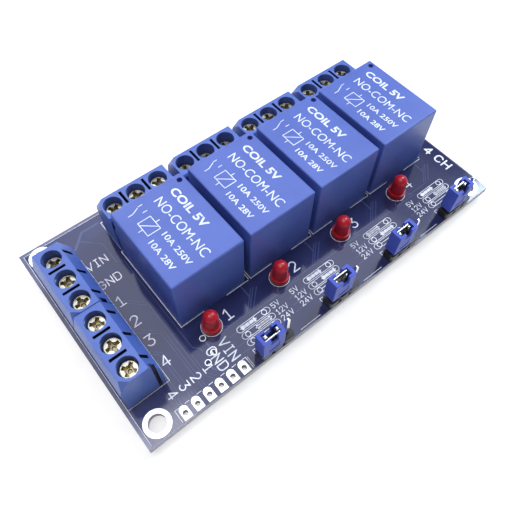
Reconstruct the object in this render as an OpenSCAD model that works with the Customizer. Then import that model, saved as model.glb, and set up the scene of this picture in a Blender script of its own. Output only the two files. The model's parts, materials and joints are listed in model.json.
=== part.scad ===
// Relay module board with four channels.
// Millimetres, +Z up. X runs along the long edge, Y from the front edge
// (headers) to the rear edge (load terminals). The origin is below the centre
// of the board, at the level of the lowest lead tips.

/* [Board] */
// Length of the board along X
board_l = 87.4; // [87.4:0.2:92]
// Width of the board along Y
board_w = 47.2; // [47.2:0.2:52]
// Thickness of the board
board_t = 1.6; // [1.2:0.2:2.0]
// Distance from one channel to the next
channel_pitch = 16.45; // [16.45:0.05:16.6]
// How far the longest trimmed leads stand out below the board
lead_tail = 2.0; // [1.8:0.1:3]

/* [Mounting holes] */
// Diameter of the four corner holes
mount_d = 3.3; // [2.8:0.1:3.6]
// Distance of the hole centres from the short edges
mount_x = 3.5; // [3.4:0.1:4]
// Distance of the hole centres from the long edges
mount_y = 2.95; // [2.9:0.05:3.4]
// Outer diameter of the tinned ring round each hole
ring_d = 5.05; // [4.4:0.05:5.4]
// Thickness of the tinned rings and pads
plate_t = 0.05; // [0.03:0.01:0.1]

/* [Relays] */
// Width of a relay case along X
relay_w = 15.0; // [14.8:0.1:15.6]
// Length of a relay case along Y
relay_l = 19.0; // [18.6:0.1:19.2]
// Height of a relay case
relay_h = 15.2; // [14.8:0.1:16]
// Radius of the case edges
relay_r = 0.3; // [0.2:0.1:0.8]
// Left side of the first relay
relay_x0 = 16.7; // [16.5:0.1:17]
// Front side of the relays
relay_y0 = 14.8; // [14.4:0.1:15]
// Diameter of the vent hole in the case top
vent_d = 1.1; // [0.8:0.1:1.4]

/* [Screw terminals] */
// Distance between two poles of a terminal block
pole_pitch = 5.0; // [5.0:0.04:5.04]
// Height of a terminal block
term_h = 10.6; // [10.4:0.1:10.7]
// Diameter of the screwdriver hole above each screw
term_hole_d = 3.7; // [3.6:0.1:3.9]
// Diameter of a clamp screw head
screw_head_d = 3.4; // [3.0:0.1:3.5]
// Diameter of a clamp screw shank
screw_d = 2.4; // [2.2:0.1:2.4]

/* [Indicators] */
// Diameter of an indicator lens
led_d = 3.0; // [2.8:0.1:3.2]
// Diameter of the flange at the foot of the lens
led_flange_d = 3.8; // [3.6:0.1:4]
// Height from the flange to the top of the dome
led_h = 5.3; // [4.8:0.1:5.6]

/* [Headers and jumpers] */
// Distance between two header pins
pin_pitch = 2.54; // [2.54:0.01:2.56]
// Side of the square pins
pin_a = 0.64; // [0.6:0.01:0.66]
// Height of the pin tips above the board
pin_top = 8.0; // [7.8:0.1:8.6]
// Height of the header base
base_h = 1.7; // [1.5:0.1:2.5]
// Width of a jumper cap along the pin row
cap_w = 4.9; // [4.8:0.05:5]
// Depth of a jumper cap across the pin row
cap_d = 2.5; // [2.4:0.05:2.5]
// Height of a jumper cap
cap_h = 5.8; // [5.4:0.1:6]

/* [Hidden] */

eps = 0.01;
top_z = lead_tail + board_t;

blue_mask = "#20295c";
blue_case = "#3f55b5";
blue_block = "#3d5cc4";
black_base = "#26262b";
tin = "#c9c9c6";
zinc = "#b9a56a";

// channel positions, measured from the front left corner of the board
function ch(k) = channel_pitch * (k - 1);
function relay_x(k) = relay_x0 + ch(k);
function led_x(k) = 21.1 + ch(k);
led_y = 11.3;
function header_x(k) = 25.4 + ch(k);
header_y = 1.3;
pad_x0 = 8.21;
pad_y = 1.4;
pad_n = 6;

// terminal blocks: centre of the first pole
function load_x(k) = 19.12 + ch(k);
load_y = 38.65;
input_x = 4.56;
function input_y(k) = k == 1 ? 25.18 : 10.18;

// how far each jumper cap stands above its header base
function cap_lift(k) = k == 1 ? 0 : k == 2 ? 1.4 : 0.9;
// caps are pushed on either way round
function cap_turn(k) = k == 1 ? 180 : 0;

// relay pins from the case's front left corner: common and coil in front,
// the two contacts at the rear
coil_pins = [[1.7, 4.3], [13.7, 4.3]];
contact_pins = [[7.7, 2.3], [1.7, 16.5], [13.7, 16.5]];

mounts = [for (x = [mount_x, board_l - mount_x], y = [mount_y, board_w - mount_y]) [x, y]];
vias = [[18.4, 10.5], [18.4, 7.1], [16.45, 6.15]];

// the board's own frame: origin at its front left corner, on its top face
module at_board() {
  translate([-board_l / 2, -board_w / 2, top_z]) children();
}

module at_load(k) { at_board() translate([load_x(k), load_y, 0]) children(); }
module at_input(k) { at_board() translate([input_x, input_y(k), 0]) rotate([0, 0, 90]) children(); }
module at_led(k) { at_board() translate([led_x(k), led_y, 0]) children(); }
module at_header(k) { at_board() translate([header_x(k), header_y, 0]) children(); }
module at_cap(k) {
  at_header(k) translate([pin_pitch / 2, 0, base_h + cap_lift(k)]) rotate([0, 0, cap_turn(k)]) children();
}

// ---- board ----

module hole(x, y, d, n = 24) {
  translate([x, y, -board_t - 1]) cylinder(d = d, h = board_t + 2, $fn = n);
}

module pcb() {
  color(blue_mask) at_board() difference() {
    translate([0, 0, -board_t]) cube([board_l, board_w, board_t]);
    for (p = mounts) hole(p[0], p[1], mount_d, 64);
    for (i = [0:pad_n - 1]) hole(pad_x0 + i * pin_pitch, pad_y, 1.0);
    for (v = vias) hole(v[0], v[1], 0.6);
    for (k = [1:4]) {
      for (p = concat(coil_pins, contact_pins)) hole(relay_x(k) + p[0], relay_y0 + p[1], 1.3);
      for (j = [0:2]) hole(load_x(k) + j * pole_pitch, load_y, 1.4);
      for (s = [-1, 1]) hole(led_x(k) + s * pin_pitch / 2, led_y, 0.9);
      for (j = [0:2]) hole(header_x(k) + j * pin_pitch, header_y, 1.0);
    }
    for (k = [1:2], j = [0:2]) hole(input_x, input_y(k) + j * pole_pitch, 1.4);
  }
}

// tinned rings on both faces, round the mounting holes
module hole_rings() {
  color(tin) at_board() for (p = mounts, z = [0, -board_t - plate_t])
    translate([p[0], p[1], z]) difference() {
      cylinder(d = ring_d, h = plate_t, $fn = 64);
      // the tinned face starts just outside the drilled hole
      translate([0, 0, -1]) cylinder(d = mount_d + 0.4, h = 2, $fn = 64);
    }
}

// one pad of the edge row: round at the inner end, square at the board edge
module edge_pad(w = 1.66, y0 = 0.27) {
  difference() {
    union() {
      translate([-w / 2, y0 - pad_y, 0]) cube([w, pad_y - y0 + 0.6, plate_t]);
      translate([0, 0.6, 0]) cylinder(d = w, h = plate_t, $fn = 32);
    }
    translate([0, 0, -1]) cylinder(d = 1.0, h = 2, $fn = 24);
  }
}

module edge_pads() {
  color(tin) at_board() for (i = [0:pad_n - 1], z = [0, -board_t - plate_t])
    translate([pad_x0 + i * pin_pitch, pad_y, z]) edge_pad();
}

// ---- relays: sealed cases, potted from below ----

module relay_case(k) {
  color(blue_case) at_board() translate([relay_x(k), relay_y0, 0]) difference() {
    hull() for (x = [relay_r, relay_w - relay_r], y = [relay_r, relay_l - relay_r]) {
      translate([x, y, 0]) cylinder(r = relay_r, h = 1, $fn = 32);
      translate([x, y, relay_h - relay_r]) sphere(r = relay_r, $fn = 32);
    }
    translate([relay_w - 1.15, relay_l - 1.45, relay_h - 1.2]) cylinder(d = vent_d, h = 3, $fn = 24);
  }
}

module relay_pins(k) {
  color(tin) at_board() translate([relay_x(k), relay_y0, -board_t - lead_tail]) {
    for (p = contact_pins) translate([p[0] - 0.5, p[1] - 0.2, 0]) cube([1.0, 0.4, board_t + lead_tail]);
    for (p = coil_pins) translate([p[0] - 0.3, p[1] - 0.3, 0]) cube([0.6, 0.6, board_t + lead_tail]);
  }
}

// ---- three-pole screw terminal block ----
// X runs along the poles, Y outward to the wire entries, origin on the board
// below the first pole

blk_in = -4.15;  // inner side
blk_out = 3.4;   // wire side
blk_s = -2.25;   // first end
blk_e = 2.6 + 2 * pole_pitch; // last end
rail_y = -3.15;  // middle of the interlocking rail and groove
cav_h = 6.4;     // roof of the clamp chamber

module block_body() {
  color(blue_block) difference() {
    union() {
      translate([blk_s, 0, 0]) rotate([90, 0, 90])
        linear_extrude(height = blk_e - blk_s)
          polygon([[blk_in, 0], [blk_out, 0], [blk_out, 7.4], [2.45, term_h], [-2.45, term_h], [blk_in, 7.3]]);
      // interlocking rail at the last end
      translate([blk_e, rail_y, 0]) linear_extrude(height = 6.6)
        polygon([[-0.1, -0.26], [0, -0.26], [0.75, -0.38], [0.75, 0.38], [0, 0.26], [-0.1, 0.26]]);
    }
    // groove at the first end, open at the top and the bottom
    translate([blk_s, rail_y, -1]) linear_extrude(height = term_h + 2)
      polygon([[-0.1, -0.34], [0, -0.34], [0.9, -0.46], [0.9, 0.46], [0, 0.34], [-0.1, 0.34]]);
    // chamfered top corner at the first end, on the wire side
    translate([blk_s, 1.0, term_h]) rotate([0, 55.2, 140.2]) translate([-6, -6, 0]) cube([12, 12, 6]);
    for (j = [0:2]) translate([j * pole_pitch, 0, 0]) {
      // screwdriver hole
      translate([0, 0, cav_h - 0.5]) cylinder(d = term_hole_d, h = term_h, $fn = 48);
      // clamp chamber, open below
      translate([-1.8, -2.5, -1]) cube([3.6, 5.0, cav_h + 1]);
      // wire entry with a shallow step round it
      translate([-1.55, 2, 1.1]) cube([3.1, 3, 3.7]);
      translate([-1.85, blk_out - 0.35, 0.8]) cube([3.7, 1, 4.3]);
      // narrow notch down the sloping inner face
      translate([-0.1, -3.6, 7.6]) cube([0.72, 1.2, 4]);
    }
    // slits between the poles
    for (j = [0:1]) translate([(j + 0.5) * pole_pitch - 0.27, -1.4, term_h - 3]) cube([0.54, 3.2, 4]);
  }
}

module clamp_screw(a) {
  color(zinc) rotate([0, 0, a]) difference() {
    union() {
      translate([0, 0, 7.9]) cylinder(d = screw_head_d, h = 1.0, $fn = 40);
      translate([0, 0, 8.9]) cylinder(d1 = screw_head_d, d2 = screw_head_d - 0.5, h = 0.3, $fn = 40);
      translate([0, 0, 3.9]) cylinder(d = screw_d, h = 4.1, $fn = 32);
    }
    // cross recess
    for (r = [0, 90]) rotate([0, 0, r]) translate([-1.28, -0.37, 8.3]) cube([2.56, 0.74, 2]);
    translate([0, 0, 8.0]) cylinder(d1 = 0.6, d2 = 1.6, h = 1.21, $fn = 24);
  }
}

// the screws stand at slightly different heights, as they were left
module clamp_screws(seed, drop = [0, 0, 0]) {
  for (j = [0:2]) translate([j * pole_pitch, 0, -drop[j]]) clamp_screw((seed * 37 + j * 53) % 90);
}

// rising clamp: a box open towards the wire entry, tapped in its roof
module clamps() {
  color(tin) for (j = [0:2]) translate([j * pole_pitch, 0, 0]) difference() {
    translate([-1.7, -2.3, 0.9]) cube([3.4, 4.5, 5.0]);
    translate([-1.2, -3, 1.5]) cube([2.4, 6, 3.4]);
    translate([0, 0, 4]) cylinder(d = screw_d + 0.1, h = 3, $fn = 32);
  }
}

// solder pins, each with a foot under its clamp
module block_pins() {
  color(tin) for (j = [0:2]) translate([j * pole_pitch, 0, 0]) union() {
    translate([-0.45, -0.45, -board_t - lead_tail]) cube([0.9, 0.9, board_t + lead_tail + 0.5]);
    translate([-1.3, -1.6, 0.4]) cube([2.6, 3.2, 0.5]);
  }
}

// ---- indicators ----

module led_lens(k) {
  color("#b3161c") at_led(k) translate([0, 0, 0.3]) difference() {
    union() {
      cylinder(d = led_flange_d, h = 1.0, $fn = 48);
      cylinder(d = led_d, h = led_h - led_d / 2, $fn = 48);
      translate([0, 0, led_h - led_d / 2]) sphere(d = led_d, $fn = 48);
    }
    // flat on the flange marks the cathode
    translate([led_d / 2 + 0.12, -3, -1]) cube([2, 6, 3]);
  }
}

module led_leads() {
  color(tin) at_board() for (k = [1:4], s = [-1, 1])
    translate([led_x(k) + s * pin_pitch / 2 - 0.23, led_y - 0.23, -board_t - lead_tail + 0.4])
      cube([0.46, 0.46, board_t + lead_tail - 0.1]);
}

// ---- headers ----

module header_base(k) {
  c = 0.4;
  h = 1.25;
  color(black_base) at_header(k) difference() {
    for (j = [0:2]) translate([j * pin_pitch, 0, 0]) linear_extrude(height = base_h)
      polygon([[-pin_pitch / 2, -h + c], [-pin_pitch / 2 + c, -h], [pin_pitch / 2 - c, -h], [pin_pitch / 2, -h + c],
               [pin_pitch / 2, h - c], [pin_pitch / 2 - c, h], [-pin_pitch / 2 + c, h], [-pin_pitch / 2, h - c]]);
    for (j = [0:2]) translate([j * pin_pitch - pin_a / 2, -pin_a / 2, -1]) cube([pin_a, pin_a, base_h + 2]);
  }
}

// square pin with a bevelled tip
module square_pin(z0, z1) {
  a = pin_a / 2;
  b = 0.14;
  c = 0.3;
  intersection() {
    translate([0, a, 0]) rotate([90, 0, 0]) linear_extrude(height = pin_a)
      polygon([[-a, z0], [a, z0], [a, z1 - c], [b, z1], [-b, z1], [-a, z1 - c]]);
    translate([-a, 0, 0]) rotate([90, 0, 90]) linear_extrude(height = pin_a)
      polygon([[-a, z0], [a, z0], [a, z1 - c], [b, z1], [-b, z1], [-a, z1 - c]]);
  }
}

module header_pins(k) {
  color(tin) at_header(k) for (j = [0:2]) translate([j * pin_pitch, 0, 0])
    square_pin(-board_t - lead_tail, pin_top);
}

// ---- jumper caps ----

module jumper_cap(k) {
  color(blue_block) at_cap(k) difference() {
    translate([-cap_w / 2, -cap_d / 2, 0]) cube([cap_w, cap_d, cap_h]);
    // chamber for the clip, open below
    translate([-1.95, -0.78, -1]) cube([3.9, 1.56, cap_h - 0.1]);
    // narrower mouth at the top
    translate([-1.72, -0.7, 0]) cube([3.44, 1.4, cap_h + 2]);
    // notches in the middle of both long walls
    translate([-0.8, -cap_d, cap_h - 1.9]) cube([1.6, 2 * cap_d, 3]);
    // relief on the outer long faces
    for (s = [-1, 1]) translate([-1.2, s * cap_d / 2 - 0.12, 0.9]) cube([2.4, 0.24, 1.9]);
  }
}

// folded spring clip: a back strip and two sides that reach round the pins
module jumper_clip(k) {
  color(tin) at_cap(k) union() {
    translate([-1.95, 0.4, 0.7]) cube([3.9, 0.2, 3.7]);
    translate([-1.66, 0.4, 4.3]) cube([3.32, 0.2, 1.1]);
    for (s = [-1, 1]) translate([s * 1.85 - 0.1, -0.5, 0.7]) cube([0.2, 1.0, 3.6]);
    // tongues that reach back to the chamber wall
    for (s = [-1, 1]) translate([s * 1.5 - 0.25, 0.5, 0.7]) cube([0.5, 0.28, 3.0]);
  }
}

// ---- solder joints below the board ----

// a cone of solder with a hole for its lead, a by b
module joint(x, y, d, h, a, b) {
  translate([x, y, -board_t]) difference() {
    translate([0, 0, -h]) cylinder(d1 = max(a, b) + 0.5, d2 = d, h = h, $fn = 24);
    translate([-a / 2, -b / 2, -h - 1]) cube([a, b, h + 2]);
  }
}

module solder_joints() {
  color(tin) at_board() {
    for (k = [1:4]) {
      for (p = contact_pins) joint(relay_x(k) + p[0], relay_y0 + p[1], 2.6, 1.1, 1.0, 0.4);
      for (p = coil_pins) joint(relay_x(k) + p[0], relay_y0 + p[1], 2.2, 1.0, 0.6, 0.6);
      for (j = [0:2]) joint(load_x(k) + j * pole_pitch, load_y, 2.6, 1.2, 0.9, 0.9);
      for (s = [-1, 1]) joint(led_x(k) + s * pin_pitch / 2, led_y, 1.6, 0.8, 0.46, 0.46);
      for (j = [0:2]) joint(header_x(k) + j * pin_pitch, header_y, 1.8, 0.9, pin_a, pin_a);
    }
    for (k = [1:2], j = [0:2]) joint(input_x, input_y(k) + j * pole_pitch, 2.6, 1.2, 0.9, 0.9);
  }
}

// ---- output ----

pcb();
hole_rings();
edge_pads();
relay_case(1);  // relay_1
relay_case(2);  // relay_2
relay_case(3);  // relay_3
relay_case(4);  // relay_4
relay_pins(1);  // relay_pins_1
relay_pins(2);  // relay_pins_2
relay_pins(3);  // relay_pins_3
relay_pins(4);  // relay_pins_4
at_load(1) block_body();  // load_terminal_1
at_load(2) block_body();  // load_terminal_2
at_load(3) block_body();  // load_terminal_3
at_load(4) block_body();  // load_terminal_4
at_input(1) block_body();  // input_terminal_1
at_input(2) block_body();  // input_terminal_2
at_load(1) clamp_screws(1, [0.25, 0.1, 0]);  // load_screws_1
at_load(2) clamp_screws(2, [1.0, 1.15, 1.0]);  // load_screws_2
at_load(3) clamp_screws(3);  // load_screws_3
at_load(4) clamp_screws(4);  // load_screws_4
at_input(1) clamp_screws(5, [0, 0.1, 0.55]);  // input_screws_1
at_input(2) clamp_screws(6);  // input_screws_2
at_load(1) clamps();  // load_clamps_1
at_load(2) clamps();  // load_clamps_2
at_load(3) clamps();  // load_clamps_3
at_load(4) clamps();  // load_clamps_4
at_input(1) clamps();  // input_clamps_1
at_input(2) clamps();  // input_clamps_2
at_load(1) block_pins();  // load_pins_1
at_load(2) block_pins();  // load_pins_2
at_load(3) block_pins();  // load_pins_3
at_load(4) block_pins();  // load_pins_4
at_input(1) block_pins();  // input_pins_1
at_input(2) block_pins();  // input_pins_2
led_lens(1);  // led_1
led_lens(2);  // led_2
led_lens(3);  // led_3
led_lens(4);  // led_4
led_leads();
header_base(1);  // header_base_1
header_base(2);  // header_base_2
header_base(3);  // header_base_3
header_base(4);  // header_base_4
header_pins(1);  // header_pins_1
header_pins(2);  // header_pins_2
header_pins(3);  // header_pins_3
header_pins(4);  // header_pins_4
jumper_cap(1);  // jumper_cap_1
jumper_cap(2);  // jumper_cap_2
jumper_cap(3);  // jumper_cap_3
jumper_cap(4);  // jumper_cap_4
jumper_clip(1);  // jumper_clip_1
jumper_clip(2);  // jumper_clip_2
jumper_clip(3);  // jumper_clip_3
jumper_clip(4);  // jumper_clip_4
solder_joints();
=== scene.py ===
import json
import math

import bpy
from mathutils import Matrix, Vector


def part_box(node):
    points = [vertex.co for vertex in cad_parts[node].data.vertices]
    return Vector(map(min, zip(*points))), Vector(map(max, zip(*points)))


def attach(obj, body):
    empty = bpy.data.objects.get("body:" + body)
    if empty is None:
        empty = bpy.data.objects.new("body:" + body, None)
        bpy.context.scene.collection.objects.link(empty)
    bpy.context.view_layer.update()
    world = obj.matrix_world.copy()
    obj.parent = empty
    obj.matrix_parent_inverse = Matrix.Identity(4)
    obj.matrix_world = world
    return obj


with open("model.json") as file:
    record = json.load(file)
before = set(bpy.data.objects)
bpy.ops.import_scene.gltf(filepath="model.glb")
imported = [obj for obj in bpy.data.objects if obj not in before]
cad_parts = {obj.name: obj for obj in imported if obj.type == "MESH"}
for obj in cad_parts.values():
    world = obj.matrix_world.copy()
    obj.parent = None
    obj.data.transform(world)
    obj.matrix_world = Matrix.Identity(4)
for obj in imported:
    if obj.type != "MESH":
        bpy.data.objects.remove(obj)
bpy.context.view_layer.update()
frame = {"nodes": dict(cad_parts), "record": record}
nodes = frame["nodes"]

# ---------------------------------------------------------------- places
# Board coordinates are millimetres from the front left corner of the board's top face.
PCB_LO, PCB_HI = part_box("pcb")
PITCH = (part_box("relay_2")[0].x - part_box("relay_1")[0].x) * 1000
BOARD_L = (PCB_HI.x - PCB_LO.x) * 1000
BOARD_W = (PCB_HI.y - PCB_LO.y) * 1000
BOARD_T = (PCB_HI.z - PCB_LO.z) * 1000


def B(x, y, z=0.0):
    return Vector((PCB_LO.x + x / 1000, PCB_LO.y + y / 1000, PCB_HI.z + z / 1000))


# ---------------------------------------------------------------- node materials
def new_material(name):
    m = bpy.data.materials.new(name)
    m.use_nodes = True
    nt = m.node_tree
    for n in list(nt.nodes):
        nt.nodes.remove(n)
    out = nt.nodes.new("ShaderNodeOutputMaterial")
    bsdf = nt.nodes.new("ShaderNodeBsdfPrincipled")
    nt.links.new(bsdf.outputs["BSDF"], out.inputs["Surface"])
    return m, nt, bsdf


def coords(nt, stretch=(1, 1, 1), source="Object"):
    tc = nt.nodes.new("ShaderNodeTexCoord")
    mp = nt.nodes.new("ShaderNodeMapping")
    mp.inputs["Scale"].default_value = stretch
    nt.links.new(tc.outputs[source], mp.inputs["Vector"])
    return mp.outputs["Vector"]


def noise(nt, vec, scale, detail=3.0, rough=0.55):
    n = nt.nodes.new("ShaderNodeTexNoise")
    n.inputs["Scale"].default_value = scale
    n.inputs["Detail"].default_value = detail
    n.inputs["Roughness"].default_value = rough
    nt.links.new(vec, n.inputs["Vector"])
    return n.outputs["Fac"]


def remap(nt, val, a, b, c, d):
    m = nt.nodes.new("ShaderNodeMapRange")
    m.inputs["From Min"].default_value = a
    m.inputs["From Max"].default_value = b
    m.inputs["To Min"].default_value = c
    m.inputs["To Max"].default_value = d
    nt.links.new(val, m.inputs["Value"])
    return m.outputs["Result"]


def mix_rgb(nt, fac, a, b):
    m = nt.nodes.new("ShaderNodeMix")
    m.data_type = "RGBA"
    if isinstance(fac, (int, float)):
        m.inputs["Factor"].default_value = fac
    else:
        nt.links.new(fac, m.inputs["Factor"])
    for sock, v in ((m.inputs[6], a), (m.inputs[7], b)):
        if isinstance(v, (tuple, list)):
            sock.default_value = (*v[:3], 1)
        else:
            nt.links.new(v, sock)
    return m.outputs[2]


def math_node(nt, op, a, b=None):
    m = nt.nodes.new("ShaderNodeMath")
    m.operation = op
    for i, v in enumerate((a, b)):
        if v is None:
            continue
        if isinstance(v, (int, float)):
            m.inputs[i].default_value = v
        else:
            nt.links.new(v, m.inputs[i])
    return m.outputs[0]


def bump(nt, bsdf, height, strength, distance, chain=None):
    b = nt.nodes.new("ShaderNodeBump")
    b.inputs["Strength"].default_value = strength
    b.inputs["Distance"].default_value = distance
    nt.links.new(height, b.inputs["Height"])
    if chain is not None:
        nt.links.new(chain, b.inputs["Normal"])
    nt.links.new(b.outputs["Normal"], bsdf.inputs["Normal"])
    return b.outputs["Normal"]


def painted_recess_shade(nt, col, shade_colour, reach, lo=0.25, hi=0.92):
    """Painted shade: the surface turns to the given shade colour where the shape shuts it in, as in a bore or a slit,
    by ambient occlusion.
    """
    ao = nt.nodes.new("ShaderNodeAmbientOcclusion")
    ao.samples = 8
    ao.only_local = True
    ao.inputs["Distance"].default_value = reach
    return mix_rgb(nt, remap(nt, ao.outputs["AO"], lo, hi, 0, 1), shade_colour, col)


def moulded_plastic(name, dark, light, rough=(0.30, 0.42), grain=1800.0, ior=1.5, coat=0.0, strength=0.12, shade_colour=None, reach=0.002, hold=(0.25, 0.92)):
    """Moulded plastic: soft colour drift, fine mould grain, uneven gloss; with a shade colour given, painted shade
    where the shape shuts the surface in.
    """
    m, nt, b = new_material(name)
    v = coords(nt)
    drift = noise(nt, v, 120.0, 2.0)
    fine = noise(nt, v, grain, 4.0, 0.6)
    col = mix_rgb(nt, remap(nt, drift, 0.3, 0.7, 0, 1), dark, light)
    speck = mix_rgb(nt, remap(nt, fine, 0.62, 0.8, 0, 0.25), col, tuple(min(1, c * 1.35 + 0.01) for c in light))
    # painted shade: the colour darkens in bores and slits where little light reaches
    if shade_colour is not None:
        speck = painted_recess_shade(nt, speck, shade_colour, reach, hold[0], hold[1])
    nt.links.new(speck, b.inputs["Base Color"])
    nt.links.new(remap(nt, fine, 0.3, 0.7, rough[0], rough[1]), b.inputs["Roughness"])
    b.inputs["IOR"].default_value = ior
    b.inputs["Coat Weight"].default_value = coat
    b.inputs["Coat Roughness"].default_value = 0.12
    bump(nt, b, fine, strength, 0.00003)
    return m


def plated_metal(name, dark, light, rough=(0.14, 0.32), scale=1500.0, stretch=(1, 1, 1), strength=0.15, shade_colour=None, reach=0.001):
    """Plated or tinned metal: cloudy tint, fine scratches, uneven gloss; with a shade colour given, painted shade in
    its recesses and a lower metallic value.
    """
    m, nt, b = new_material(name)
    v = coords(nt, stretch)
    cloud = noise(nt, v, scale * 0.35, 3.0)
    fine = noise(nt, v, scale * 2.0, 4.0, 0.65)
    col = mix_rgb(nt, remap(nt, cloud, 0.3, 0.7, 0, 1), dark, light)
    # painted shade: the colour darkens in recesses such as the cross in the screw heads
    if shade_colour is not None:
        col = painted_recess_shade(nt, col, shade_colour, reach, 0.50, 0.88)
    nt.links.new(col, b.inputs["Base Color"])
    nt.links.new(remap(nt, fine, 0.3, 0.7, rough[0], rough[1]), b.inputs["Roughness"])
    b.inputs["Metallic"].default_value = 1.0 if shade_colour is None else 0.72
    bump(nt, b, fine, strength, 0.00003)
    return m


def solder_mask():
    """Glossy dark blue solder mask over a faint glass weave, with a bare glass-fibre edge."""
    m, nt, b = new_material("board_mask")
    v = coords(nt)
    geo = nt.nodes.new("ShaderNodeNewGeometry")
    sep = nt.nodes.new("ShaderNodeSeparateXYZ")
    nt.links.new(geo.outputs["Normal"], sep.inputs["Vector"])
    up = math_node(nt, "ABSOLUTE", sep.outputs["Z"])
    side = math_node(nt, "LESS_THAN", up, 0.6)
    drift = noise(nt, v, 90.0, 3.0)
    fine = noise(nt, v, 2600.0, 3.0)
    mask = mix_rgb(nt, remap(nt, drift, 0.3, 0.7, 0, 1), (0.019, 0.022, 0.078), (0.027, 0.031, 0.100))
    fibre = noise(nt, coords(nt, (1, 1, 6)), 900.0, 4.0)
    edge = mix_rgb(nt, remap(nt, fibre, 0.35, 0.65, 0, 1), (0.20, 0.20, 0.25), (0.42, 0.42, 0.47))
    nt.links.new(mix_rgb(nt, side, mask, edge), b.inputs["Base Color"])
    gloss = remap(nt, fine, 0.3, 0.7, 0.070, 0.115)
    rough = nt.nodes.new("ShaderNodeMix")
    rough.data_type = "FLOAT"
    nt.links.new(side, rough.inputs["Factor"])
    nt.links.new(gloss, rough.inputs[2])
    rough.inputs[3].default_value = 0.55
    nt.links.new(rough.outputs[0], b.inputs["Roughness"])
    b.inputs["IOR"].default_value = 1.62
    weave = nt.nodes.new("ShaderNodeTexWave")
    weave.wave_type = "BANDS"
    weave.bands_direction = "X"
    weave.inputs["Scale"].default_value = 300.0
    weave.inputs["Distortion"].default_value = 1.5
    nt.links.new(v, weave.inputs["Vector"])
    n1 = bump(nt, b, drift, 0.10, 0.00020)
    bump(nt, b, weave.outputs["Fac"], 0.03, 0.00002, n1)
    return m


def mask_over_copper():
    """The same mask where copper lies under it: a little lighter and bluer."""
    m, nt, b = new_material("mask_over_copper")
    v = coords(nt)
    drift = noise(nt, v, 160.0, 3.0)
    fine = noise(nt, v, 2600.0, 3.0)
    nt.links.new(mix_rgb(nt, remap(nt, drift, 0.3, 0.7, 0, 1), (0.045, 0.062, 0.150), (0.062, 0.085, 0.195)), b.inputs["Base Color"])
    nt.links.new(remap(nt, fine, 0.3, 0.7, 0.05, 0.10), b.inputs["Roughness"])
    b.inputs["IOR"].default_value = 1.62
    bump(nt, b, fine, 0.08, 0.00002)
    return m


def bare_laminate():
    """Mask over bare glass-fibre, with no copper below: pale lilac, still glossy."""
    m, nt, b = new_material("bare_laminate")
    v = coords(nt)
    drift = noise(nt, v, 240.0, 3.0)
    weave = noise(nt, coords(nt, (1, 1, 1)), 3000.0, 2.0)
    nt.links.new(mix_rgb(nt, remap(nt, drift, 0.3, 0.7, 0, 1), (0.105, 0.108, 0.185), (0.150, 0.152, 0.240)), b.inputs["Base Color"])
    nt.links.new(remap(nt, weave, 0.3, 0.7, 0.08, 0.16), b.inputs["Roughness"])
    b.inputs["IOR"].default_value = 1.6
    bump(nt, b, weave, 0.08, 0.00002)
    return m


def ink(name, dark, light, rough=(0.42, 0.6)):
    """Screen-printed ink, slightly uneven in cover and gloss."""
    m, nt, b = new_material(name)
    v = coords(nt)
    fine = noise(nt, v, 2200.0, 4.0, 0.65)
    drift = noise(nt, v, 350.0, 2.0)
    both = math_node(nt, "MULTIPLY", fine, drift)
    nt.links.new(mix_rgb(nt, remap(nt, both, 0.12, 0.34, 0, 1), dark, light), b.inputs["Base Color"])
    nt.links.new(remap(nt, fine, 0.3, 0.7, rough[0], rough[1]), b.inputs["Roughness"])
    bump(nt, b, fine, 0.12, 0.00002)
    return m


def red_lens():
    """Red diffused lens: glossy outside, a body that scatters light inside."""
    m, nt, b = new_material("red_lens")
    v = coords(nt)
    cloud = noise(nt, v, 500.0, 3.0)
    fine = noise(nt, v, 2400.0, 3.0)
    nt.links.new(mix_rgb(nt, remap(nt, cloud, 0.3, 0.7, 0, 1), (0.42, 0.008, 0.017), (0.53, 0.012, 0.025)), b.inputs["Base Color"])
    nt.links.new(remap(nt, fine, 0.3, 0.7, 0.27, 0.36), b.inputs["Roughness"])
    b.inputs["IOR"].default_value = 1.50
    b.inputs["Subsurface Weight"].default_value = 0.35
    b.inputs["Subsurface Radius"].default_value = (1.0, 0.12, 0.10)
    b.inputs["Subsurface Scale"].default_value = 0.0009
    bump(nt, b, cloud, 0.015, 0.00006)
    return m


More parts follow.
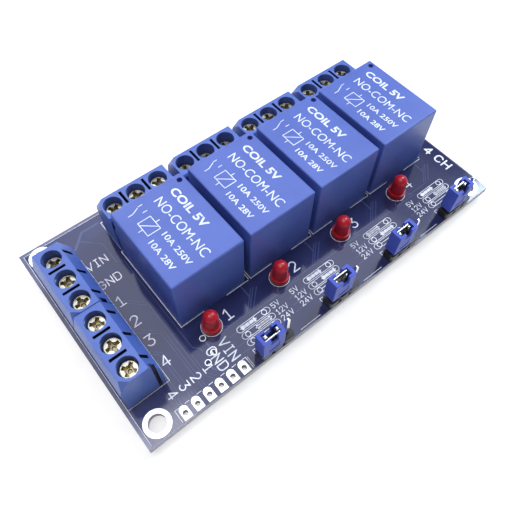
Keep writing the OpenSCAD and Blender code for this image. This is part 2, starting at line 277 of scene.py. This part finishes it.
MAT = {
    "board_mask": solder_mask(),
    "tinned_copper": plated_metal("tinned_copper", (0.72, 0.72, 0.72), (0.93, 0.93, 0.92), (0.30, 0.48), 1200.0),
    "tinned_leads": plated_metal("tinned_leads", (0.55, 0.55, 0.54), (0.80, 0.80, 0.78), (0.22, 0.40), 1500.0),
    "pin_metal": plated_metal("pin_metal", (0.70, 0.68, 0.62), (0.92, 0.90, 0.84), (0.12, 0.26), 1800.0, (1, 1, 0.2)),
    "relay_case": moulded_plastic("relay_case", (0.070, 0.117, 0.410), (0.087, 0.140, 0.468), (0.30, 0.40), 1500.0, 1.5),
    # terminal plastic with painted shade inside the screw bores and wire slots
    "terminal_plastic": moulded_plastic("terminal_plastic", (0.066, 0.124, 0.410), (0.083, 0.150, 0.470), (0.32, 0.45), 1300.0, 1.5, shade_colour=(0.018, 0.018, 0.050), reach=0.0030, hold=(0.40, 0.94)),
    # zinc screws with painted shade in the cross recesses
    "zinc_screws": plated_metal("zinc_screws", (0.60, 0.54, 0.34), (0.95, 0.90, 0.74), (0.18, 0.32), 700.0, strength=0.05, shade_colour=(0.270, 0.222, 0.085), reach=0.0010),
    "nickel_clamp": plated_metal("nickel_clamp", (0.42, 0.42, 0.41), (0.66, 0.66, 0.64), (0.2, 0.38), 1200.0),
    "red_lens": red_lens(),
    "black_plastic": moulded_plastic("black_plastic", (0.012, 0.012, 0.014), (0.022, 0.022, 0.026), (0.36, 0.5), 1600.0),
    # jumper caps with painted shade inside their pin chambers
    "jumper_plastic": moulded_plastic("jumper_plastic", (0.050, 0.082, 0.430), (0.068, 0.106, 0.520), (0.42, 0.54), 1700.0, 1.36, shade_colour=(0.012, 0.016, 0.065), reach=0.0016),
    "clip_metal": plated_metal("clip_metal", (0.78, 0.74, 0.62), (0.97, 0.95, 0.88), (0.10, 0.22), 1600.0),
    "solder": plated_metal("solder", (0.58, 0.59, 0.61), (0.82, 0.83, 0.85), (0.12, 0.30), 900.0, strength=0.3),
    "copper": mask_over_copper(),
    "laminate": bare_laminate(),
    "white_ink": ink("white_ink", (0.62, 0.62, 0.66), (0.90, 0.90, 0.93)),
    "case_ink": ink("case_ink", (0.58, 0.62, 0.74), (0.82, 0.85, 0.93)),
    "floor": ink("floor_paper", (0.50, 0.49, 0.47), (0.54, 0.53, 0.51), (0.75, 0.9)),
}
# the floor is a light table: it glows a little, so shadows stay soft and pale
table_bsdf = next(n for n in MAT["floor"].node_tree.nodes if n.type == "BSDF_PRINCIPLED")
table_bsdf.inputs["Emission Color"].default_value = (1, 1, 1, 1)
table_bsdf.inputs["Emission Strength"].default_value = 0.56


def finish_node(name, mat):
    o = nodes[name]
    o.data.materials.clear()
    o.data.materials.append(mat)


for entry in frame["record"]["subparts"]:
    finish_node(entry["node"], MAT[entry["material_slot"]])


# ---------------------------------------------------------------- soft edges on moulded CAD pieces
def ease(name, width, segments=2, angle=35):
    o = nodes[name]
    w = o.modifiers.new("weld", "WELD")
    w.merge_threshold = 0.000002
    b = o.modifiers.new("ease", "BEVEL")
    b.width = width
    b.segments = segments
    b.limit_method = "ANGLE"
    b.angle_limit = math.radians(angle)
    b.use_clamp_overlap = True
    b.harden_normals = False


for n in nodes:
    if "terminal" in n:
        ease(n, 0.00010, 2)
    elif n.startswith("jumper_cap"):
        ease(n, 0.00010, 2)
    elif n.startswith("header_base"):
        ease(n, 0.00008, 1)
    elif "screws" in n:
        ease(n, 0.00005, 2)


# ---------------------------------------------------------------- thin printed geometry
class Sheet:
    """Closed flat shapes, each a thin plate between two heights."""

    def __init__(self, place):
        self.v, self.f, self.place, self.k = [], [], place, 0

    def plate(self, pts, z0, z1):
        n, b = len(pts), len(self.v)
        self.v += [self.place(x, y, z0) for x, y in pts]
        self.v += [self.place(x, y, z1) for x, y in pts]
        self.f.append(tuple(range(b + n - 1, b - 1, -1)))
        self.f.append(tuple(range(b + n, b + 2 * n)))
        for i in range(n):
            j = (i + 1) % n
            self.f.append((b + i, b + j, b + n + j, b + n + i))

    def bar(self, a, c, w, z0, z1, round_ends=True, n=6):
        """A straight stroke from a to c, w wide."""
        self.k += 1
        z1 += (self.k % 7) * 0.0006
        ax, ay = a
        cx, cy = c
        d = math.hypot(cx - ax, cy - ay) or 1e-9
        ang = math.atan2(cy - ay, cx - ax)
        pts = []
        if round_ends:
            for i in range(n + 1):
                t = ang - math.pi / 2 + math.pi * i / n
                pts.append((cx + math.cos(t) * w / 2, cy + math.sin(t) * w / 2))
            for i in range(n + 1):
                t = ang + math.pi / 2 + math.pi * i / n
                pts.append((ax + math.cos(t) * w / 2, ay + math.sin(t) * w / 2))
        else:
            nx, ny = -math.sin(ang) * w / 2, math.cos(ang) * w / 2
            pts = [(ax - nx, ay - ny), (cx - nx, cy - ny), (cx + nx, cy + ny), (ax + nx, ay + ny)]
        self.plate(pts, z0, z1)

    def line(self, pts, w, z0, z1, close=False, round_ends=True):
        pts = list(pts) + ([pts[0]] if close else [])
        for a, c in zip(pts, pts[1:]):
            self.bar(a, c, w, z0, z1, round_ends)

    def ring(self, x, y, r0, r1, z0, z1, a0=0.0, a1=360.0, n=36):
        full = abs(a1 - a0) >= 359.9
        steps = max(3, int(n * abs(a1 - a0) / 360))
        b = len(self.v)
        count = steps if full else steps + 1
        for i in range(count):
            t = math.radians(a0 + (a1 - a0) * i / steps)
            for r, z in ((r0, z0), (r1, z0), (r1, z1), (r0, z1)):
                self.v.append(self.place(x + r * math.cos(t), y + r * math.sin(t), z))
        for i in range(steps):
            p, q = b + 4 * i, b + 4 * ((i + 1) % count)
            self.f += [(p, q, q + 1, p + 1), (p + 1, q + 1, q + 2, p + 2), (p + 2, q + 2, q + 3, p + 3), (p + 3, q + 3, q, p)]
        if not full:
            e = b + 4 * steps
            self.f += [(b, b + 1, b + 2, b + 3), (e + 3, e + 2, e + 1, e)]

    def done(self, name, mat, body="board"):
        me = bpy.data.meshes.new(name)
        me.from_pydata([tuple(p) for p in self.v], [], self.f)
        me.materials.append(mat)
        me.validate()
        me.update()
        o = bpy.data.objects.new(name, me)
        bpy.context.scene.collection.objects.link(o)
        bpy.context.view_layer.update()
        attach(o, body)
        return o


def arc(cx, cy, rx, ry, a0, a1, n=7):
    return [(cx + rx * math.cos(math.radians(a0 + (a1 - a0) * i / n)), cy + ry * math.sin(math.radians(a0 + (a1 - a0) * i / n))) for i in range(n + 1)]


# single-stroke characters: cap height 1, x from 0
GLYPHS = {
    "V": (0.72, [[(0, 1), (0.36, 0), (0.72, 1)]]),
    "I": (0.46, [[(0.23, 0), (0.23, 1)], [(0.05, 0), (0.41, 0)], [(0.05, 1), (0.41, 1)]]),
    "N": (0.66, [[(0, 0), (0, 1), (0.66, 0), (0.66, 1)]]),
    "G": (0.70, [arc(0.36, 0.66, 0.34, 0.34, 25, 180) + arc(0.36, 0.34, 0.34, 0.34, 180, 335) + [(0.68, 0.48), (0.40, 0.48)]]),
    "D": (0.66, [[(0.32, 1), (0, 1), (0, 0), (0.32, 0)] + arc(0.32, 0.34, 0.34, 0.34, -90, 0) + arc(0.32, 0.66, 0.34, 0.34, 0, 90)]),
    "A": (0.72, [[(0, 0), (0.36, 1), (0.72, 0)], [(0.13, 0.33), (0.59, 0.33)]]),
    "C": (0.68, [arc(0.34, 0.66, 0.34, 0.34, 25, 180) + arc(0.34, 0.34, 0.34, 0.34, 180, 335)]),
    "H": (0.66, [[(0, 0), (0, 1)], [(0.66, 0), (0.66, 1)], [(0, 0.5), (0.66, 0.5)]]),
    "1": (0.52, [[(0.04, 0.76), (0.28, 1), (0.28, 0)], [(0.06, 0), (0.50, 0)]]),
    "2": (0.64, [arc(0.31, 0.70, 0.31, 0.30, 165, -25) + [(0.02, 0.02), (0, 0), (0.64, 0)]]),
    "3": (0.62, [[(0.02, 1), (0.60, 1), (0.28, 0.61), (0.34, 0.61)] + arc(0.31, 0.305, 0.31, 0.305, 75, -160)]),
    "4": (0.66, [[(0.48, 0), (0.48, 1), (0, 0.30), (0.66, 0.30)]]),
    "5": (0.62, [[(0.58, 1), (0.07, 1), (0.03, 0.55)] + arc(0.30, 0.32, 0.31, 0.32, 125, -155)]),
    " ": (0.12, []),
}


def write(sheet, text, x, y, cap, w, z0, z1, turn=0.0, gap=0.30, centre=False, length=None):
    """Stroke lettering from (x, y), the foot of the first character; turn is the reading direction in degrees."""
    total = sum(GLYPHS[c][0] for c in text) + gap * (len(text) - 1)
    sx = 1.0 if length is None else length / (total * cap)
    t = math.radians(turn)
    off = -total * cap * sx / 2 if centre else 0.0

    def at(u, v):
        u = u * cap * sx + off
        v = v * cap
        return (x + u * math.cos(t) - v * math.sin(t), y + u * math.sin(t) + v * math.cos(t))

    pen = 0.0
    for c in text:
        width, lines = GLYPHS[c]
        for pl in lines:
            sheet.line([at(pen + px, py) for px, py in pl], w, z0, z1)
        pen += width + gap


# ---------------------------------------------------------------- copper under the mask
INK0, INK1 = 0.012, 0.030
CU0, CU1 = -0.02, 0.010
copper = Sheet(B)


def track(pts, w):
    copper.line(pts, w, CU0, CU1)


def outlined(pts, w=0.55, line=0.11):
    """A track set in the copper pour: only its two clearance lines show."""
    for s in (-1, 1):
        shifted = []
        for i, p in enumerate(pts):
            a = pts[max(i - 1, 0)]
            c = pts[min(i + 1, len(pts) - 1)]
            d = math.hypot(c[0] - a[0], c[1] - a[1]) or 1
            shifted.append((p[0] - s * (c[1] - a[1]) / d * w / 2, p[1] + s * (c[0] - a[0]) / d * w / 2))
        track(shifted, line)


INX = 4.56
PAD0, PADN = 8.21, 2.54
outlined([(9.4, 25.7), (11.2, 25.7), (14.7, 22.3), (14.7, 5.0), (15.83, 3.3)])
outlined([(8.9, 20.0), (9.9, 19.2), (13.35, 16.0), (13.35, 3.2)])
outlined([(8.9, 14.4), (9.6, 14.0), (10.75, 12.8), (10.75, 3.2)])
outlined([(8.6, 9.6), (8.9, 9.0), (8.9, 5.0), (8.3, 4.2), (8.25, 3.2)], 0.5)
track([(15.9, 33.6), (15.9, 10.2), (16.9, 9.2), (16.9, 8.4)], 0.16)
track([(18.4, 9.9), (18.4, 7.7)], 0.3)
track([(16.45, 5.5), (16.45, 4.6), (17.9, 3.4)], 0.3)
for k in range(4):
    o = PITCH * k
    track([(19.8 + o, 10.2), (18.9 + o, 9.3), (18.9 + o, 8.8)] if k else [(19.0, 10.6), (19.83, 11.0)], 0.22)
    track([(22.6 + o, 9.25), (28.5 + o, 9.25)], 0.16)
    track([(22.4 + o, 10.4), (23.7 + o, 9.25)], 0.2)
    track([(31.6 + o, 12.9), (28.2 + o, 9.6)], 0.18)
    track([(32.2 + o, 12.9), (28.8 + o, 9.6)], 0.18)
    track([(32.8 + o, 12.6), (29.5 + o, 9.4)], 0.18)
    track([(30.4 + o, 14.6), (30.4 + o, 11.8)], 0.3)
    if k < 3:
        for yy, x0, x1 in ((8.75, 29.8, 40.4), (6.7, 36.2, 40.0), (5.15, 35.8, 40.0), (3.75, 35.4, 40.0)):
            track([(x0 + o, yy), (x1 + o, yy)], 0.16)
    track([(26.6 + o, 2.6), (26.6 + o, 3.6)], 0.3)
track([(22.4, 5.1), (23.9, 5.1)], 0.16)
track([(22.4, 7.5), (23.9, 7.5)], 0.16)
track([(22.4, 3.6), (24.0, 3.6)], 0.16)
track([(5.6, 41.6), (9.5, 41.6), (12.6, 44.6), (16.3, 44.6)], 0.5)
track([(11.2, 43.0), (14.6, 39.6), (14.6, 34.0)], 0.22)
track([(83.6, 38.2), (84.6, 37.2), (84.6, 22.0), (83.2, 20.6)], 0.22)
copper_piece = copper.done("copper_tracks", MAT["copper"])

# ---------------------------------------------------------------- white print on the board
ink_sheet = Sheet(B)


def silk(pts, w=0.15, close=False, round_ends=True):
    ink_sheet.line(pts, w, INK0, INK1, close, round_ends)


def silk_ring(x, y, r, w=0.15, a0=0.0, a1=360.0):
    ink_sheet.ring(x, y, r - w / 2, r + w / 2, INK0, INK1, a0, a1)


# border line inside the edges
silk([(0.72, 0.6), (0.72, BOARD_W - 0.72), (BOARD_L - 0.72, BOARD_W - 0.72)], 0.09)

# input block outline where it shows
silk([(0.9, 7.78), (9.25, 7.78)], 0.08)
silk([(9.25, 38.9), (9.25, 7.78)], 0.10)

# bracket and dashes at the edge pads
for x, s in ((6.9, 1), (22.24, -1)):
    silk([(x, 0.45), (x, 2.77), (x + s * 0.75, 2.77)], 0.13)
for i in range(5):
    xm = PAD0 + PADN * (i + 0.5)
    silk([(xm - 0.42, 2.80), (xm + 0.42, 2.80)], 0.13)
silk([(22.55, 0.5), (22.55, 2.6)], 0.10)

# lettering over the edge pads, read from the rear edge forwards
write(ink_sheet, "VIN", 19.95, 8.15, 1.9, 0.24, INK0, INK1, -90, length=4.5)
write(ink_sheet, "GND", 17.25, 8.15, 1.9, 0.24, INK0, INK1, -90, length=4.8)
for t, x in (("1", 15.0), ("2", 12.35), ("3", 9.80), ("4", 7.30)):
    write(ink_sheet, t, x, 5.35, 1.8, 0.22, INK0, INK1, -90, centre=True, length=1.15)

# lettering beside the input terminals
write(ink_sheet, "VIN", 9.15, 35.5, 1.75, 0.22, INK0, INK1, 0, length=4.4)
write(ink_sheet, "GND", 9.0, 30.5, 1.75, 0.22, INK0, INK1, 0, length=4.7)
for t, y in (("1", 26.35), ("2", 21.2), ("3", 16.2), ("4", 11.2)):
    write(ink_sheet, t, 10.65, y - 1.08, 2.15, 0.24, INK0, INK1, 0, centre=True, length=1.45)

for k in range(4):
    o = PITCH * k
    # relay and terminal outlines
    silk([(16.6 + o, 35.6), (16.6 + o, 14.70), (21.8 + o, 14.70)], 0.13)
    silk([(27.2 + o, 14.70), (32.45 + o, 14.70)], 0.13)
    silk([(32.62 + o, 14.95), (32.62 + o, 35.6)], 0.13)
    silk([(16.6 + o, 35.6), (32.75 + o, 35.6)], 0.13)
    silk([(16.9 + o, 36.1), (16.9 + o, 44.2), (32.6 + o, 44.2)], 0.13)
    # indicator ring and channel digit
    silk_ring(21.1 + o, 11.35, 2.03, 0.13)
    write(ink_sheet, str(k + 1), 24.9 + o, 10.4, 2.2, 0.25, INK0, INK1, 0, centre=True, length=1.45)
    # three resistor places
    for row, (y, kind) in enumerate(((7.50, 0), (5.92, 1), (4.36, 2))):
        r, x0, x1 = 0.62, 24.15 + o, 31.8 + o
        left = arc(x0 + r, y, r, r, 90, 270, 8)
        right = arc(x1 - r, y, r, r, -90, 90, 8)
        silk(left + right, 0.12, close=True)
        if kind == 0:
            bars, rings = (25.1, 28.4), (30.5,)
        elif kind == 1:
            bars, rings = (27.55, 30.9), (25.45,)
        else:
            bars, rings = (26.9, 29.4), (25.45, 30.5)
        for rx in rings:
            silk_ring(rx + o, y, 0.50, 0.16)
        b0, b1 = bars
        n = 7 if kind < 2 else 1
        if kind < 2:
            for j in range(n):
                xa = b0 + (b1 - b0) * j / n
                xb = xa + (b1 - b0) / n * (0.80 if j % 2 else 0.96)
                h = 0.44 if j in (0, n - 1) else 0.34
                ink_sheet.plate([(xa + o, y - h), (xb + o, y - h), (xb + o, y + h), (xa + o, y + h)], INK0, INK1)
            silk([(b0 - 0.15 + o, y), (b1 + 0.15 + o, y)], 0.2)
        else:
            silk([(26.1 + o, y), (29.9 + o, y)], 0.12)
    lx = 32.35 + o if k == 0 else 20.65 + o
    for t, y in (("5V", 7.50), ("12V", 5.92), ("24V", 4.36)):
        n = sum(GLYPHS[c][0] for c in t) + 0.3 * (len(t) - 1)
        write(ink_sheet, t, lx, y - 0.52, 1.04, 0.13, INK0, INK1, 0, length=n * 1.04)
    # corners of the header outline
    silk([(24.1 + o, 2.2), (24.1 + o, 2.95), (24.75 + o, 2.95)], 0.13)
    silk([(31.75 + o, 2.2), (31.75 + o, 2.95), (31.1 + o, 2.95)], 0.13)
    if k < 3:
        silk([(33.6 + o, 0.48), (38.4 + o, 0.48)], 0.14)
silk([(16.9, 44.2), (82.2, 44.2)], 0.13)

# a plain count of channels near the right end
write(ink_sheet, "4 CH", 84.35, 15.9, 1.9, 0.36, INK0, INK1, -90, length=6.9)
board_print = ink_sheet.done("board_print", MAT["white_ink"])

# bare laminate outside the copper pour, a pale band along the edges
bare = Sheet(B)
for x0, y0, x1, y1 in (
    (0.02, 0.02, 0.60, BOARD_W - 0.02),
    (BOARD_L - 0.22, 0.02, BOARD_L - 0.02, BOARD_W - 0.02),
    (0.60, BOARD_W - 0.60, BOARD_L - 0.22, BOARD_W - 0.02),
    (0.60, 0.02, BOARD_L - 0.22, 0.16),
):
    bare.plate([(x0, y0), (x1, y0), (x1, y1), (x0, y1)], -0.02, 0.006)
    bare.plate([(x0, y0), (x1, y0), (x1, y1), (x0, y1)], -BOARD_T - 0.006, -BOARD_T + 0.02)
bare_piece = bare.done("bare_border", MAT["laminate"])

# rings round the small plated holes, with their barrels covered by mask
vias = Sheet(B)
barrel = Sheet(B)
for x, y in ((18.4, 10.5), (18.4, 7.1), (16.45, 6.15)):
    vias.ring(x, y, 0.47, 0.62, -0.02, 0.034, n=32)
    vias.ring(x, y, 0.47, 0.62, -BOARD_T - 0.034, -BOARD_T + 0.02, n=32)
    barrel.ring(x, y, 0.255, 0.30, -BOARD_T + 0.02, -0.01, n=24)
    barrel.ring(x, y, 0.30, 0.47, -0.02, 0.012, n=24)
# tin through the four mounting holes, out to the rings
for x in (3.5, BOARD_L - 3.5):
    for y in (2.95, BOARD_W - 2.95):
        vias.ring(x, y, 1.645, 1.88, -0.02, 0.05, n=64)
        vias.ring(x, y, 1.645, 1.88, -BOARD_T - 0.05, -BOARD_T + 0.02, n=64)
barrel_piece = barrel.done("via_barrels", MAT["board_mask"])
via_piece = vias.done("via_rings", MAT["tinned_copper"])


# ---------------------------------------------------------------- print on the relay cases
def face_text(text, up_mid, s0, s1, cap, place, z0, z1, bold=0.0):
    """Filled lettering fitted to a box: s runs along the reading direction, up across it."""
    cu = bpy.data.curves.new("t", "FONT")
    cu.body = text
    cu.size = 1.0
    cu.offset = bold
    cu.resolution_u = 3
    ob = bpy.data.objects.new("t", cu)
    bpy.context.scene.collection.objects.link(ob)
    bpy.context.view_layer.update()
    me = bpy.data.meshes.new_from_object(ob.evaluated_get(bpy.context.evaluated_depsgraph_get()))
    vs = [(v.co.x, v.co.y) for v in me.vertices]
    fs = [tuple(p.vertices) for p in me.polygons]
    edge_count = {}
    for p in fs:
        for i in range(len(p)):
            e = (p[i], p[(i + 1) % len(p)])
            edge_count[e] = edge_count.get(e, 0) + 1
    rim = [e for e in edge_count if (e[1], e[0]) not in edge_count]
    bpy.data.objects.remove(ob)
    bpy.data.curves.remove(cu)
    bpy.data.meshes.remove(me)
    x0, x1 = min(v[0] for v in vs), max(v[0] for v in vs)
    y1 = max(v[1] for v in vs)
    sx, sy = (s1 - s0) / (x1 - x0), cap / y1
    flat = [(s0 + (x - x0) * sx, up_mid - cap / 2 + y * sy) for x, y in vs]
    n = len(flat)
    out_v = [place(s, u, z0) for s, u in flat] + [place(s, u, z1) for s, u in flat]
    out_f = [tuple(i + n for i in p) for p in fs] + [tuple(reversed(p)) for p in fs]
    out_f += [(a, b, b + n, a + n) for a, b in rim]
    return out_v, out_f


for k in range(4):
    lo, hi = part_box(f"relay_{k + 1}")

    def on_case(s, u, z, lo=lo, hi=hi):
        # reading direction -Y from the rear edge, letter tops towards +X
        return Vector((lo.x + u / 1000, hi.y - s / 1000, hi.z + z / 1000))

    sheet = Sheet(on_case)
    for args in (
        ("COIL 5V", 11.75, 2.4, 12.6, 1.6, 0.028),
        ("NO-COM-NC", 8.4, 2.6, 17.4, 1.9, 0.0),
        ("10A 250V", 5.2, 9.3, 17.1, 1.15, 0.012),
        ("10A 28V", 2.5, 9.3, 16.2, 1.15, 0.012),
    ):
        text, up, s0, s1, cap, bold = args
        v, f = face_text(text, up, s0, s1, cap, on_case, 0.000, 0.012, bold)
        n = len(sheet.v)
        sheet.v += v
        sheet.f += [tuple(i + n for i in p) for p in f]
    # coil symbol: a box with a slanting line and two leads
    z0, z1, w = 0.0, 0.012, 0.16
    sheet.line([(4.9, 2.7), (4.9, 5.3), (8.1, 5.3), (8.1, 2.7)], w, z0, z1, close=True)
    sheet.line([(5.4, 2.7), (7.6, 5.3)], w, z0, z1)
    sheet.line([(6.5, 5.3), (6.5, 6.1)], w, z0, z1)
    sheet.line([(6.5, 2.7), (6.5, 1.9)], w, z0, z1)
    # changeover contact: two fixed contacts and a slanting lever
    sheet.line([(1.9, 5.5), (1.9, 4.7)], w, z0, z1)
    sheet.line([(3.5, 5.5), (3.5, 4.7)], w, z0, z1)
    sheet.line([(2.7, 2.2), (2.7, 3.1), (2.05, 4.5)], w, z0, z1)
    sheet.done(f"relay_print_{k + 1}", MAT["case_ink"])

# ---------------------------------------------------------------- camera
F_PX = 526.094
EYE = B(2.67010, -22.88519, 90.83876)
RVEC = Vector((2.48300409, -0.87544338, 0.25268291))
rot = Matrix.Rotation(RVEC.length, 3, RVEC.normalized())
cam_axes = rot.transposed() @ Matrix(((1, 0, 0), (0, -1, 0), (0, 0, -1)))
cam = bpy.data.cameras.new("camera")
cam.sensor_width = 36
cam.lens = F_PX / 512 * 36
cam.clip_start = 0.005
cam.clip_end = 10
cam_ob = bpy.data.objects.new("camera", cam)
bpy.context.scene.collection.objects.link(cam_ob)
cam_ob.matrix_world = Matrix.Translation(EYE) @ cam_axes.to_4x4()
bpy.context.scene.camera = cam_ob

# ---------------------------------------------------------------- floor and light
fl = bpy.data.meshes.new("floor")
S = 3.0
fl.from_pydata([(-S, -S, 0), (S, -S, 0), (S, S, 0), (-S, S, 0)], [], [(0, 1, 2, 3)])
fl.materials.append(MAT["floor"])
floor = bpy.data.objects.new("floor", fl)
bpy.context.scene.collection.objects.link(floor)


def softbox(name, where, aim, size, power, tint=(1, 1, 1)):
    li = bpy.data.lights.new(name, "AREA")
    li.shape = "RECTANGLE"
    li.size, li.size_y = size
    li.energy = power
    li.color = tint
    ob = bpy.data.objects.new(name, li)
    bpy.context.scene.collection.objects.link(ob)
    ob.location = where
    ob.rotation_euler = (Vector(aim) - Vector(where)).to_track_quat("-Z", "Y").to_euler()
    return ob


def glow(radiance, size):
    """Power of a soft box that shines with this radiance."""
    return radiance * math.pi * size[0] * size[1]


KEY, OVER, BACK, SIDE = (0.58, 0.95), (0.36, 0.44), (0.60, 0.34), (0.22, 0.50)
softbox("key_edge", (0.60, 0.50, 0.72), (0.60, 0.50, 0.0), (0.16, 0.95), glow(0.8, (0.16, 0.95)), (0.80, 0.84, 1.0))
softbox("key", (0.23, 0.50, 0.72), (0.23, 0.50, 0.0), KEY, glow(2.05, KEY), (0.80, 0.84, 1.0))
softbox("overhead", (-0.15, -0.04, 0.70), (-0.15, -0.04, 0.0), OVER, glow(4.6, OVER), (0.94, 0.94, 1.0))
softbox("back", (-0.08, 0.80, 0.52), (0, 0, 0), BACK, glow(6.0, BACK))
softbox("side", (0.66, 0.06, 0.72), (0, 0, 0), SIDE, glow(17.0, SIDE), (0.72, 0.86, 1.0))

world = bpy.data.worlds.new("world")
bpy.context.scene.world = world
world.use_nodes = True
wnt = world.node_tree
bg = wnt.nodes["Background"]
bg.inputs["Strength"].default_value = 1.0
# pale near the horizon, dim overhead, so the boxes alone shine in the board
sky = wnt.nodes.new("ShaderNodeTexCoord")
sky_sep = wnt.nodes.new("ShaderNodeSeparateXYZ")
wnt.links.new(sky.outputs["Generated"], sky_sep.inputs["Vector"])
sky_up = remap(wnt, sky_sep.outputs["Z"], 0.0, 0.46, 0, 1)
wnt.links.new(mix_rgb(wnt, sky_up, (0.72, 0.73, 0.76), (0.086, 0.090, 0.100)), bg.inputs["Color"])

bpy.context.scene.view_settings.view_transform = "Standard"
bpy.context.scene.view_settings.look = "None"
